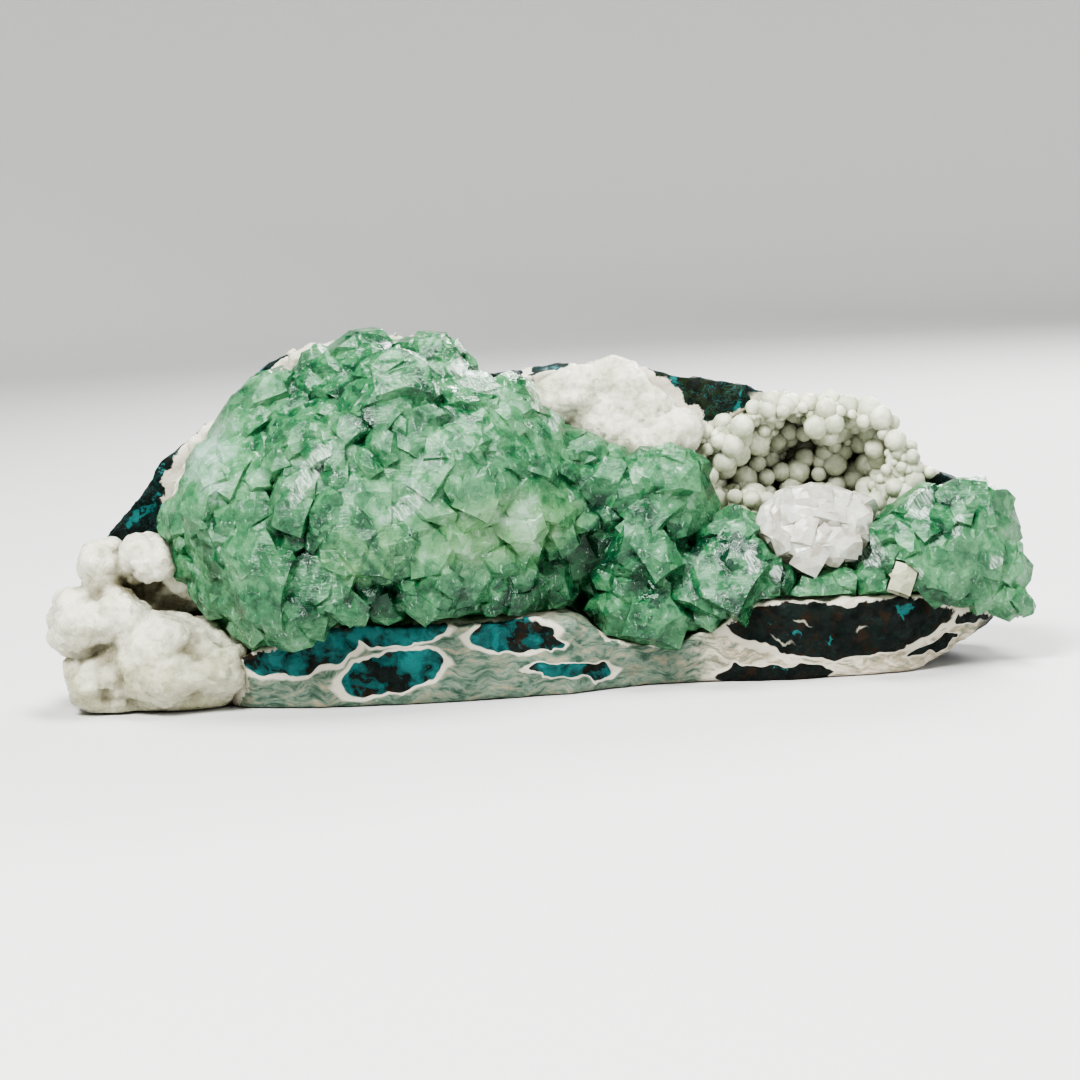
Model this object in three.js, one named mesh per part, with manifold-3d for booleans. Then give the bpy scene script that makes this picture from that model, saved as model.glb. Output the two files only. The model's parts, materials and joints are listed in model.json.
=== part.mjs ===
// A green apophyllite specimen: a fan of crystals on a broken block of basalt, with white crusts,
// a pocket lined with white balls, and one clear white crystal group at the pocket's mouth.
// Millimetres. X runs to the right along the block, Y to its back and Z up from the cut that it rests on.
import * as THREE from "three";
import { mergeVertices } from "three/addons/utils/BufferGeometryUtils.js";
import Module from "manifold-3d";

const wasm = await Module();
wasm.setup();

// Driving dimensions
const GAP = 0.35; // clear space kept between touching pieces
const FINEST = 0.1; // slivers smaller than this are smoothed away
const WALL_FRONT = 3; // the block's wall, behind the crystals
const BACK_AT_BASE = 27;
const BACK_AT_TOP = 19;
const LEDGE_UNDERCUT = 3.5; // the ledge's broken front leans out this far from its foot to its lip
const LIP_SLOPE = 0.3; // how fast the crystals' lower edge rises in front of the ledge's lip
const LIP_DEPTH = 14; // where that rise starts, in front of the drawing's zero
const ROCK_GRID = { along: 26, deep: 3, ledge: 2, wall: 5 }; // facets along, through and up the block
const ROCK = {
  roughness: 1.1, // how far its lumps stand out
  lumpSize: 7.7,
  lumpsDeep: 3.1, // lumps from its front to its back
  ridgeHeight: 7, // of the ridges that run over its back
  ridgeSize: 20,
  ridgeShift: 9, // chooses where on the back they run
  backDrop: 3.2, // how much lower its top is at the back
  height: 60, // where its back stops leaning in
  endTaper: 14, // how far in from each end it gets thinner
  endDepth: 0.62, // the depth of its ends, as a share of the rest
};

// The block's top edge, its bottom edge, its ledge's height and the ledge's front, all against X
const TOP_EDGE = [
  [-84, 14.5], [-81, 21], [-76, 28.5], [-70, 36], [-65, 41.5], [-61, 45], [-54, 50.5], [-49, 55],
  [-46, 58], [-42, 59.3], [-36, 60], [-24, 60], [-15, 57.5], [-8, 54.8], [-2, 53.5], [8, 55],
  [16, 54.5], [23, 52.5], [30, 51.5],
  [39, 49.5], [44, 47.8], [51, 47.5], [56, 44], [60, 39.5], [66, 35], [72, 32.5], [80, 27],
];
const BOTTOM_EDGE = [[-84, 9], [-78, -2], [56, -2], [64, 0.5], [72, 4], [80, 8.5]];
const LEDGE_TOP = [
  [-84, 14], [-56, 8], [-50, 9.5], [-38, 14.5], [4, 13.5], [12, 8],
  [26, 7.5], [34, 14], [66, 14], [72, 11.5], [80, 12],
];
const LEDGE_FRONT = [
  [-84, 2], [-62, 1], [-53, -13], [-42, -18], [-20, -20], [4, -18],
  [14, -13], [28, -13], [40, -16], [60, -15], [72, -10], [80, -2],
];

// The pocket that the balls line
const POCKET = { centre: [46, 4, 34.5], radii: [20.5, 13, 11.5], crust: 1.3 };

const lerp = THREE.MathUtils.lerp;
const clamp = THREE.MathUtils.clamp;

// A value along a row of [position, value] points.
function along(points, x) {
  const next = points.findIndex(([at]) => at >= x);
  if (next === 0) return points[0][1];
  if (next < 0) return points[points.length - 1][1];
  const [x0, v0] = points[next - 1];
  const [x1, v1] = points[next];
  return lerp(v0, v1, (x - x0) / (x1 - x0));
}

// A repeatable number from 0 to 1 for a whole number.
function hash(n) {
  const s = Math.sin(n * 127.1 + 311.7) * 43758.5453;
  return s - Math.floor(s);
}

// A repeatable stream of numbers from 0 to 1.
function stream(seed) {
  let count = seed * 1000;
  return () => hash(count++);
}

// Smooth noise from -1 to 1 over space.
function noise(x, y, z) {
  const [i, j, k] = [x, y, z].map(Math.floor);
  const [u, v, w] = [x - i, y - j, z - k].map((f) => f * f * (3 - 2 * f));
  const at = (a, b, c) => hash((i + a) + (j + b) * 57 + (k + c) * 113);
  const low = lerp(lerp(at(0, 0, 0), at(1, 0, 0), u), lerp(at(0, 1, 0), at(1, 1, 0), u), v);
  const high = lerp(lerp(at(0, 0, 1), at(1, 0, 1), u), lerp(at(0, 1, 1), at(1, 1, 1), u), v);
  return lerp(low, high, w) * 2 - 1;
}

// The direction of one of count points spread evenly over a ball.
function spread(i, count) {
  const height = 1 - (2 * i + 1) / count;
  const around = i * Math.PI * (3 - Math.sqrt(5));
  const ring = Math.sqrt(1 - height * height);
  return new THREE.Vector3(ring * Math.cos(around), ring * Math.sin(around), height);
}

// A closed geometry as a solid that can be joined and cut.
function solidOf(geometry) {
  const bare = geometry.clone();
  bare.deleteAttribute("normal");
  bare.deleteAttribute("uv");
  const merged = mergeVertices(bare, 1e-4);
  return new wasm.Manifold(
    new wasm.Mesh({
      numProp: 3,
      vertProperties: merged.attributes.position.array,
      triVerts: new Uint32Array(merged.index.array),
    }),
  );
}

// A solid as a geometry with flat faces.
function geometryOf(solid) {
  const { vertProperties, triVerts } = solid.getMesh();
  const geometry = new THREE.BufferGeometry();
  geometry.setAttribute("position", new THREE.BufferAttribute(vertProperties, 3));
  geometry.setIndex(new THREE.BufferAttribute(triVerts, 1));
  const flat = geometry.toNonIndexed();
  flat.computeVertexNormals();
  return flat;
}

// The same closed mesh, moved outwards by grow all over.
function swollen(mesh, grow) {
  mesh.computeVertexNormals();
  const { position, normal } = mesh.attributes;
  for (let i = 0; i < position.count; i++) {
    const out = new THREE.Vector3().fromBufferAttribute(normal, i).multiplyScalar(grow);
    position.setXYZ(i, position.getX(i) + out.x, position.getY(i) + out.y, position.getZ(i) + out.z);
  }
  return mesh;
}

function join(solids) {
  return solids.reduce((whole, one) => whole.add(one));
}

function largest(solid) {
  return solid.decompose().reduce((best, one) => (one.volume() > best.volume() ? one : best));
}

// What lies above the cut that the specimen rests on. A piece that doesn't carry it stays a little clear.
function aboveCut(solid, height) {
  const below = new THREE.BoxGeometry(300, 300, 50).translate(0, 0, height - 25);
  return solid.subtract(solidOf(below));
}

// The block of basalt: a box of facets, bent to the outlines above. grow makes it larger all round.
function basaltBlock(grow = 0) {
  const rows = ROCK_GRID.ledge + ROCK_GRID.wall + 1;
  const geometry = new THREE.BoxGeometry(1, 1, 1, ROCK_GRID.along, ROCK_GRID.deep, rows);
  geometry.deleteAttribute("normal");
  geometry.deleteAttribute("uv");
  const block = mergeVertices(geometry, 1e-4);
  const place = block.attributes.position;
  const [left, right] = [TOP_EDGE[0][0], TOP_EDGE[TOP_EDGE.length - 1][0]];
  for (let i = 0; i < place.count; i++) {
    const x = lerp(left, right, place.getX(i) + 0.5);
    const deep = place.getY(i) + 0.5;
    const row = Math.round((place.getZ(i) + 0.5) * rows);
    const [foot, top] = [along(BOTTOM_EDGE, x), along(TOP_EDGE, x)];
    const lip = Math.min(along(LEDGE_TOP, x), top - 2);
    const onLedge = row <= ROCK_GRID.ledge;
    const z = onLedge
      ? lerp(foot, lip, row / ROCK_GRID.ledge)
      : lerp(lip + 0.5, top, (row - ROCK_GRID.ledge - 1) / ROCK_GRID.wall);
    const lean = LEDGE_UNDERCUT * (1 - clamp(z / lip, 0, 1));
    const front = onLedge ? along(LEDGE_FRONT, x) + lean : WALL_FRONT;
    const ends = clamp(Math.min(x - left, right - x) / ROCK.endTaper, 0, 1);
    const depth = lerp(BACK_AT_BASE, BACK_AT_TOP, clamp(z / ROCK.height, 0, 1));
    const back = depth * lerp(ROCK.endDepth, 1, Math.sqrt(ends));
    const bump = ROCK.roughness * noise(x / ROCK.lumpSize, deep * ROCK.lumpsDeep, z / ROCK.lumpSize);
    const run = x / ROCK.ridgeSize + ROCK.ridgeShift;
    const ridge = Math.abs(noise(run, 0.5, (z + x * 0.4) / ROCK.ridgeSize)) - 0.5;
    const y = lerp(front + (onLedge ? bump * 0.4 : 0), back + bump + ROCK.ridgeHeight * ridge, deep);
    const crown = row === rows ? bump * Math.sin(deep * Math.PI) - ROCK.backDrop * deep * deep : 0;
    place.setXYZ(i, x + bump * 0.8, y, z + crown + (onLedge ? 0 : bump * 0.3));
  }
  return solidOf(swollen(block, grow));
}

// A lump with an uneven skin.
function lump([x, y, z], [a, b, c], grow = 0) {
  const unevenness = 0.14;
  const dents = 1.7; // how close together its dents are
  const ball = new THREE.IcosahedronGeometry(1, 1);
  const place = ball.attributes.position;
  for (let i = 0; i < place.count; i++) {
    const [u, v, w] = new THREE.Vector3().fromBufferAttribute(place, i);
    const rough = 1 + unevenness * noise(u * dents + x, v * dents + y, w * dents + z);
    place.setXYZ(i, x + u * (a * rough + grow), y + v * (b * rough + grow), z + w * (c * rough + grow));
  }
  return solidOf(ball);
}

// A tetragonal crystal from its root to its tip: a square prism cut by a pyramid with a small flat tip.
// The pyramid is turned an eighth of a turn from the prism. grow makes the crystal larger all round.
function crystal(shape, grow = 0) {
  const { root, tip, width, flatness = 0.9, steepness = 1.25, turn = 0, tipShare = 0.18 } = shape;
  const from = new THREE.Vector3(...root);
  const axis = new THREE.Vector3(...tip).sub(from);
  const length = axis.length() + grow;
  const half = width / 2 + grow;
  const prism = new THREE.BoxGeometry(half * 2, half * 2 * flatness, length).translate(0, 0, length / 2);
  const tipRadius = half * tipShare;
  const reach = half * 3.2; // the pyramid's radius where it is wider than the prism
  const height = (reach - tipRadius) * steepness;
  const pyramid = new THREE.LatheGeometry(
    [[0, length], [tipRadius, length], [reach, length - height], [reach, -length], [0, -length]]
      .reverse()
      .map(([r, h]) => new THREE.Vector2(r, h)),
    4,
  ).rotateX(Math.PI / 2);
  const pose = new THREE.Matrix4().compose(
    from,
    new THREE.Quaternion()
      .setFromUnitVectors(new THREE.Vector3(0, 0, 1), axis.clone().normalize())
      .multiply(new THREE.Quaternion().setFromAxisAngle(new THREE.Vector3(0, 0, 1), turn)),
    new THREE.Vector3(1, 1, 1),
  );
  prism.applyMatrix4(pose);
  pyramid.applyMatrix4(pose);
  return solidOf(prism).intersect(solidOf(pyramid));
}

// A fan of crystals whose tips lie on a round form, spread evenly over its front, from its lowest tip up.
function crystalFan({ root, centre, radii, count, width, seed, lowest }, grow = 0) {
  const random = stream(seed);
  const solids = [lump(centre, radii.map((r) => r * 0.86), grow)];
  for (let i = 0; i < count; i++) {
    const out = spread(i, count);
    const reach = 0.97 + 0.09 * random();
    const tip = out.toArray().map((d, axis) => centre[axis] + d * radii[axis] * reach);
    const shape = {
      root,
      tip,
      width: width * (0.75 + 0.5 * random()),
      flatness: 0.75 + 0.25 * random(),
      steepness: 0.55 + 0.5 * random(),
      turn: random() * Math.PI,
      tipShare: 0.1 + 0.3 * random(),
    };
    if (out.y < 0.3 && tip[2] > lowest) solids.push(crystal(shape, grow));
  }
  return join(solids);
}

// The green crystals, all grown into one another
const FANS = [
  { root: [-22, 6, 12], centre: [-26, -3, 32.5], radii: [37.5, 24, 28.5], lowest: 15 },
  { root: [18, 4, 0], centre: [17, -3, 15], radii: [12, 12, 21], lowest: 9 },
  { root: [36, 4, 2], centre: [34, -5, 14], radii: [10.5, 13, 14], lowest: 14 },
  { root: [48, 0, 6], centre: [48, -8, 14.6], radii: [10, 8, 4.6], lowest: 14 },
  { root: [60, 2, 2], centre: [65, -4, 15], radii: [12.5, 14, 15.5], lowest: 14 },
  { root: [72, 4, 8], centre: [75, -3, 17], radii: [7.5, 9, 13], lowest: 9 },
];
const FAN_CRYSTALS = [
  { count: 36, width: 21, seed: 3 },
  { count: 14, width: 14, seed: 11 },
  { count: 12, width: 12, seed: 17 },
  { count: 12, width: 8, seed: 37 },
  { count: 16, width: 12, seed: 23 },
  { count: 10, width: 9, seed: 29 },
];
const LONE_CRYSTALS = [
  { root: [-30, 2, 30], tip: [-36.5, -7, 61.5], width: 8, steepness: 1.3, turn: 0.5 },
  { root: [-24, 2, 30], tip: [-29.5, -5, 63], width: 9, steepness: 1, turn: 0.2, tipShare: 0.4 },
  { root: [-40, 2, 30], tip: [-45, -8, 57.5], width: 8, steepness: 1.2, turn: 0.9 },
  { root: [-8, 2, 25], tip: [-1.5, -9, 54], width: 9, steepness: 1.5, turn: 0.75 },
  { root: [2, 2, 22], tip: [10, -8, 43], width: 9, steepness: 0.8, turn: 0.3, tipShare: 0.5 },
  { root: [17, 2, 12], tip: [23.5, -8, 40.5], width: 11, steepness: 0.6, turn: 0.1, tipShare: 0.5 },
  { root: [12, 2, 12], tip: [16, -7, 39], width: 10, steepness: 0.7, turn: 0.5, tipShare: 0.4 },
  { root: [17, -2, 14], tip: [18.5, -17, 12.5], width: 5, steepness: 0.6, turn: 0.3, tipShare: 0.4 },
  { root: [31, 0, 16], tip: [34, -9, 30], width: 8, steepness: 1, turn: 0.6 },
  { root: [62, 0, 14], tip: [67, -9, 31], width: 9, steepness: 1.1, turn: 0.7 },
  { root: [70, 0, 12], tip: [76, -7, 31], width: 8, steepness: 0.7, turn: 0.4, tipShare: 0.5 },
  { root: [70, -2, 8], tip: [82.5, -8, 21], width: 6, steepness: 1, turn: 0.3 },
  { root: [70, -4, 8], tip: [83, -9, 12], width: 7, steepness: 0.8, turn: 0.6, tipShare: 0.4 },
];

// The broken face below the crystals, carried on outwards, so that they end along the ledge's lip.
function belowTheLip() {
  const outline = new THREE.Shape([
    new THREE.Vector2(-90, -20),
    ...LEDGE_TOP.map(([x, z]) => new THREE.Vector2(x, z + GAP)),
    new THREE.Vector2(84, 6),
    new THREE.Vector2(90, 6),
    new THREE.Vector2(90, -20),
  ]);
  const skirt = new THREE.ExtrudeGeometry(outline, { depth: 60, bevelEnabled: false }).rotateX(Math.PI / 2);
  skirt.applyMatrix4(new THREE.Matrix4().makeShear(0, 0, 0, -LIP_SLOPE, 0, 0));
  return solidOf(skirt.translate(0, 0, -LIP_SLOPE * LIP_DEPTH));
}

function greenCrystals(grow = 0) {
  return join([
    ...FANS.map((fan, i) => crystalFan({ ...fan, ...FAN_CRYSTALS[i] }, grow)),
    ...LONE_CRYSTALS.map((one) => crystal(one, grow)),
  ]);
}

// The white crust at the left end: rounded lumps around a hollow, with a thin rim up the block's edge.
const LEFT_LUMPS = [
  { at: [-63, -6, 7], radii: [13.5, 11, 9.5] },
  { at: [-75, -5, 5], radii: [8, 9, 7] },
  { at: [-79.5, -5, 15.5], radii: [6.3, 6.5, 6] },
  { at: [-73, -7, 15.5], radii: [5, 5, 6] },
  { at: [-76, -2, 24.5], radii: [4, 5, 5.5] },
  { at: [-68, -4, 26], radii: [5, 5.5, 4.5] },
  { at: [-62.5, -1, 22], radii: [4.5, 4.5, 4] },
  { at: [-67.5, 1, 18], radii: [7, 4, 8] },
];
const RIM = { beads: 21, radii: [3, 3.2, 3] };
const RIM_PATH = [
  [-62, 24.5], [-61.7, 32], [-62, 36], [-59.6, 40.5], [-57.3, 44.5], [-51, 49], [-44.8, 53.3],
  [-39.2, 57.8], [-34.5, 59.6], [-28, 60.2], [-17.1, 58.4], [-14.6, 56.2],
];

function leftCrust(grow = 0) {
  const lumps = LEFT_LUMPS.map(({ at, radii }) => lump(at, radii, grow));
  const points = RIM_PATH.map(([x, z]) => new THREE.Vector3(x, WALL_FRONT - 0.5, z));
  const path = new THREE.CatmullRomCurve3(points);
  const beads = path.getSpacedPoints(RIM.beads).map((at, i) => {
    const bead = new THREE.IcosahedronGeometry(1, 0).rotateY(i);
    return solidOf(bead.scale(...RIM.radii.map((r) => r + grow)).translate(...at));
  });
  return join([...lumps, ...beads]);
}

// The white crust behind the crystals at the top, a smooth mass with a glossy round lump.
const TOP_LUMPS = [
  { at: [7, 2, 49], radii: [8, 4, 6.5] },
  { at: [14, 2, 50], radii: [7.5, 4, 6] },
  { at: [14, 1, 44], radii: [8, 4.5, 7] },
  { at: [20.5, 0, 41], radii: [6.5, 5.5, 5] },
  { at: [26, 1, 42.5], radii: [3.6, 4, 3.8] },
  { at: [20, 2, 47.5], radii: [5, 3.5, 4] },
];

function topCrust(grow = 0) {
  return join(TOP_LUMPS.map(({ at, radii }) => lump(at, radii, grow)));
}

// The pocket: a round bowl in the block, and the crust of balls that lines it.
function pocketForm(grow) {
  const { centre, radii } = POCKET;
  return solidOf(
    new THREE.SphereGeometry(1, 12, 7)
      .rotateX(Math.PI / 2)
      .scale(...radii.map((r) => r + grow))
      .translate(...centre),
  );
}

function ballCrust(grow = 0) {
  const { centre, radii, crust } = POCKET;
  const random = stream(41);
  const count = 28;
  const solids = [pocketForm(grow).subtract(pocketForm(-crust - grow))];
  for (let i = 0; i < count; i++) {
    const size = 3 + 1.5 * random() * random();
    const out = spread(i, count).toArray();
    const at = out.map((d, axis) => centre[axis] + d * (radii[axis] - crust - 0.4 * size));
    const ball = new THREE.IcosahedronGeometry(size + grow, 0).rotateX(i).translate(...at);
    if (at[1] > WALL_FRONT - 1.5) solids.push(solidOf(ball));
  }
  const mouth = WALL_FRONT - 1.2 - grow; // the balls stand this far out of the wall
  const inFront = new THREE.BoxGeometry(100, 50, 100).translate(centre[0], mouth - 25, centre[2]);
  return join(solids).subtract(solidOf(inFront));
}

// The clear white crystals at the pocket's mouth.
const WHITE_CRYSTALS = [
  { root: [47, 2, 18], tip: [47, -10, 31], width: 11 },
  { root: [45, 2, 18], tip: [40.5, -9, 29], width: 9 },
  { root: [49, 2, 18], tip: [54.5, -9, 28.5], width: 9 },
  { root: [48, 0, 21], tip: [44.5, -14, 24], width: 8 },
  { root: [48, 0, 21], tip: [51, -14, 23.5], width: 7.5 },
];

function whiteCrystals(grow = 0) {
  return join(
    WHITE_CRYSTALS.map((one, i) =>
      crystal({ ...one, flatness: 0.7, steepness: 0.45, turn: i * 0.8, tipShare: 0.55 }, grow),
    ),
  );
}

// A single cream crystal, low on the right among the green ones.
const CREAM_CRYSTAL = {
  root: [61, -6, 14],
  tip: [61, -18.5, 17.5],
  width: 5,
  flatness: 0.8,
  steepness: 0.4,
  turn: 1.2,
  tipShare: 0.6,
};

const materials = {
  basalt: new THREE.MeshStandardMaterial({ color: 0x1d2a27, roughness: 0.85, metalness: 0 }),
  crust: new THREE.MeshStandardMaterial({ color: 0xe9e6dc, roughness: 0.6, metalness: 0 }),
  balls: new THREE.MeshStandardMaterial({ color: 0xd9dac9, roughness: 0.5, metalness: 0 }),
  clearWhite: new THREE.MeshStandardMaterial({ color: 0xf2ecec, roughness: 0.2, metalness: 0 }),
  green: new THREE.MeshStandardMaterial({ color: 0x7fc08f, roughness: 0.1, metalness: 0 }),
};

const fullBlock = basaltBlock(2 * GAP);
const pieces = {
  white_crust_left: [leftCrust().subtract(fullBlock), materials.crust],
  white_crust_top: [topCrust().subtract(fullBlock), materials.crust],
  cream_crystal: [crystal(CREAM_CRYSTAL).subtract(fullBlock), materials.clearWhite],
  clear_white_crystals: [whiteCrystals().subtract(fullBlock), materials.clearWhite],
  ball_crust: [
    ballCrust()
      .subtract(fullBlock.subtract(pocketForm(0)))
      .subtract(whiteCrystals(GAP))
      .subtract(topCrust(GAP)),
    materials.balls,
  ],
  basalt_block: [basaltBlock().subtract(pocketForm(GAP)), materials.basalt],
  green_crystals: [
    greenCrystals()
      .subtract(belowTheLip())
      .subtract(fullBlock)
      .subtract(leftCrust(GAP))
      .subtract(topCrust(GAP))
      .subtract(crystal(CREAM_CRYSTAL, GAP))
      .subtract(whiteCrystals(GAP))
      .subtract(ballCrust(GAP)),
    materials.green,
  ],
};

const specimen = new THREE.Group();
for (const [name, [solid, material]] of Object.entries(pieces)) {
  const above = aboveCut(solid, name === "basalt_block" ? 0 : GAP);
  const mesh = new THREE.Mesh(geometryOf(largest(above).simplify(FINEST)), material);
  mesh.name = name;
  specimen.add(mesh);
}

// The origin is on the cut, under the middle of the whole specimen.
const middle = new THREE.Box3().setFromObject(specimen).getCenter(new THREE.Vector3());
specimen.position.set(-middle.x, -middle.y, 0);

export default specimen;
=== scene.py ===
# A green apophyllite specimen on basalt, with white crusts, a pocket of balls and milky crystals.
# Each piece is made from its solid in the frame. Places and sizes are in millimetres, made metres by MM.
import json
import math

import bmesh
import bpy
import numpy as np
from mathutils import Matrix, Quaternion, Vector, noise
from mathutils.bvhtree import BVHTree

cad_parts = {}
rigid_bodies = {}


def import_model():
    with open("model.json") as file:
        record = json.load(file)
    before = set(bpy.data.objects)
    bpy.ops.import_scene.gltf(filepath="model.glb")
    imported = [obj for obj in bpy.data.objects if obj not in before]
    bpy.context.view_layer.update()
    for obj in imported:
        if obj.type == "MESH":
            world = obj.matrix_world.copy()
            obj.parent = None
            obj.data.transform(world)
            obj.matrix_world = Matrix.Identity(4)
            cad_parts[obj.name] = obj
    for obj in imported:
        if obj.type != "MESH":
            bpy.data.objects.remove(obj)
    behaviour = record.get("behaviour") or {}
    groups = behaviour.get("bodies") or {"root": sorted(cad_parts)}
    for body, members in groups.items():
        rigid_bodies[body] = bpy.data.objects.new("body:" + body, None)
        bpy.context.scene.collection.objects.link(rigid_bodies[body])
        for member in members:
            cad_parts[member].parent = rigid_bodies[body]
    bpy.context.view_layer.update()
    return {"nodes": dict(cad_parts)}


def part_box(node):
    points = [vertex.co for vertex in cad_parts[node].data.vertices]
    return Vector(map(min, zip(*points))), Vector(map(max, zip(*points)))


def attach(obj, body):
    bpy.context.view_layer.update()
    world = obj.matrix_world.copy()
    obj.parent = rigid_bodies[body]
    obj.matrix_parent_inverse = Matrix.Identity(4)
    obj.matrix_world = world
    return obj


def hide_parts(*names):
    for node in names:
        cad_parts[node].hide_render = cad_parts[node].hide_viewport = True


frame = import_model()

MM = 0.001
NODES = frame["nodes"]

# Driving sizes of the fine surfaces
ROCK_VOXEL = 0.75
CRUST_VOXEL = 0.5
CRYSTAL_SPACING = 3.7
CRYSTAL_WIDTHS = (4.5, 12.5)
BALL_RADII = (1.0, 2.7)
# The wall's front face, and the height over which the balls also cover the pocket's lip
WALL_FRONT = 2.2
LIP_HEIGHT = 43

# Where each fan of green crystals radiates from
FAN_ROOTS = [(-20, 8, 14), (19, 6, 2), (37, 6, 2), (61, 6, 4), (74, 6, 8)]


def vec(point):
    return Vector(point) * MM


# Meshes

def new_object(name, mesh):
    piece = bpy.data.objects.new(name, mesh)
    bpy.context.scene.collection.objects.link(piece)
    return piece


def drop(piece):
    mesh = piece.data
    bpy.data.objects.remove(piece)
    bpy.data.meshes.remove(mesh)


def closed_copy(node):
    """A node's solid with its shared corners merged."""
    bm = bmesh.new()
    bm.from_mesh(NODES[node].data)
    bmesh.ops.remove_doubles(bm, verts=bm.verts, dist=0.0005 * MM)
    mesh = bpy.data.meshes.new(node)
    bm.to_mesh(mesh)
    bm.free()
    return mesh


def baked(piece):
    """The same object with its modifiers applied."""
    made = bpy.data.meshes.new_from_object(piece.evaluated_get(bpy.context.evaluated_depsgraph_get()))
    piece.modifiers.clear()
    old = piece.data
    piece.data = made
    bpy.data.meshes.remove(old)
    return piece


def remeshed(name, node, voxel):
    """A node's solid as an even mesh of small faces."""
    piece = new_object(name, closed_copy(node))
    change = piece.modifiers.new("even", "REMESH")
    change.mode = "VOXEL"
    change.voxel_size = voxel * MM
    return baked(piece)


def softened(piece, rounds, factor=0.5):
    """The same object with its corners rounded off."""
    change = piece.modifiers.new("soft", "SMOOTH")
    change.factor, change.iterations = factor, rounds
    return baked(piece)


def joined(piece, others):
    """The piece with the meshes of the others added to it."""
    bm = bmesh.new()
    for mesh in (piece.data, *others):
        bm.from_mesh(mesh)
    bm.to_mesh(piece.data)
    bm.free()
    for mesh in others:
        bpy.data.meshes.remove(mesh)


def scattered(corners, faces, places, turns, sizes):
    """One mesh of many copies of a small closed form, each with its own place, turn and size."""
    corners, faces = np.array(corners), np.array(faces)
    count = len(places)
    poses = np.array([np.array(turn.to_matrix()) for turn in turns])
    grown = corners[None] * np.asarray(sizes)[:, None, None] * MM
    points = np.einsum("nij,nkj->nki", poses, grown) + np.array(places)[:, None]
    index = faces[None] + (np.arange(count) * len(corners))[:, None, None]
    mesh = bpy.data.meshes.new("scattered")
    mesh.from_pydata(points.reshape(-1, 3).tolist(), [], index.reshape(-1, faces.shape[1]).tolist())
    return mesh


def random_turns(rng, count):
    return [Quaternion(q).normalized() for q in rng.normal(size=(count, 4))]


def tree_of(*nodes):
    bm = bmesh.new()
    for node in nodes:
        bm.from_mesh(NODES[node].data)
    tree = BVHTree.FromBMesh(bm)
    bm.free()
    return tree


def points_of(mesh):
    co = np.empty(len(mesh.vertices) * 3)
    mesh.vertices.foreach_get("co", co)
    return co.reshape(-1, 3)


def set_points(mesh, points):
    mesh.vertices.foreach_set("co", points.astype(np.float32).ravel())
    mesh.update()


def normals_of(mesh):
    normals = np.empty(len(mesh.vertices) * 3)
    mesh.vertex_normals.foreach_get("vector", normals)
    return normals.reshape(-1, 3)


def attribute(mesh, name, values):
    mesh.attributes.new(name, "FLOAT", "POINT").data.foreach_set("value", np.asarray(values, np.float32))


def rough(points, size, octaves=3, shift=0.0):
    """Fractal noise at each point, about -1 to 1, for features of a size in mm."""
    scale = 1 / (size * MM)
    away = Vector((shift,) * 3)
    return np.array([noise.fractal(Vector(p) * scale + away, 1.0, 2.0, octaves) for p in points])


def distance_to(tree, points, limit=12):
    """Each point's distance to a tree in mm, at most the limit."""
    found = [tree.find_nearest(Vector(p), limit * MM)[3] for p in points]
    return np.array([limit if d is None else d / MM for d in found])


def surface_points(mesh, spacing, rng, wanted):
    """Points spread over a mesh at least a spacing in mm apart, with their normals, where they are wanted."""
    mesh.calc_loop_triangles()
    co = points_of(mesh)
    corners = np.array([t.vertices[:] for t in mesh.loop_triangles])
    a, b, c = co[corners[:, 0]], co[corners[:, 1]], co[corners[:, 2]]
    cross = np.cross(b - a, c - a)
    area = np.linalg.norm(cross, axis=1) / 2
    normals = cross / np.maximum(area * 2, 1e-12)[:, None]
    tries = int(area.sum() / (spacing * MM) ** 2 * 8)
    chosen = rng.choice(len(area), tries, p=area / area.sum())
    u, v = np.sqrt(rng.random(tries)), rng.random(tries)
    shares = np.stack([1 - u, u * (1 - v), u * v], axis=1)[:, :, None]
    places = (shares * np.stack([a[chosen], b[chosen], c[chosen]], axis=1)).sum(axis=1)
    cell, grid, kept = spacing * MM, {}, []
    for place, normal in zip(places, normals[chosen]):
        key = tuple((place // cell).astype(int))
        around = [
            q
            for i in (-1, 0, 1)
            for j in (-1, 0, 1)
            for k in (-1, 0, 1)
            for q in grid.get((key[0] + i, key[1] + j, key[2] + k), ())
        ]
        if all(np.sum((place - q) ** 2) > cell * cell for q in around) and wanted(place / MM, normal):
            grid.setdefault(key, []).append(place)
            kept.append((Vector(place), Vector(normal)))
    return kept


def crystal_corners(width, length, flatness, steepness, tip_share):
    """The corners of a square crystal under a turned pyramid, its tip at zero and +Z outwards."""
    a, b = width / 2, width / 2 * flatness
    t = tip_share * a

    def height(x, y):
        return min(0.0, (t - abs(x) - abs(y) / b * a) * steepness)

    around = [(a, b), (-a, b), (-a, -b), (a, -b)]
    sides = [(a, 0), (0, b), (-a, 0), (0, -b)]
    corners = [(x, y, -length) for x, y in around]
    corners += [(x, y, max(height(x, y), -length * 0.8)) for x, y in around + sides]
    if t < a:
        corners += [(t, 0, 0), (0, t * flatness, 0), (-t, 0, 0), (0, -t * flatness, 0)]
    else:
        e = t - a
        corners += [(i * a, j * e * flatness, 0) for i in (-1, 1) for j in (-1, 1)]
        corners += [(i * e, j * b, 0) for i in (-1, 1) for j in (-1, 1)]
    return corners


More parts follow.
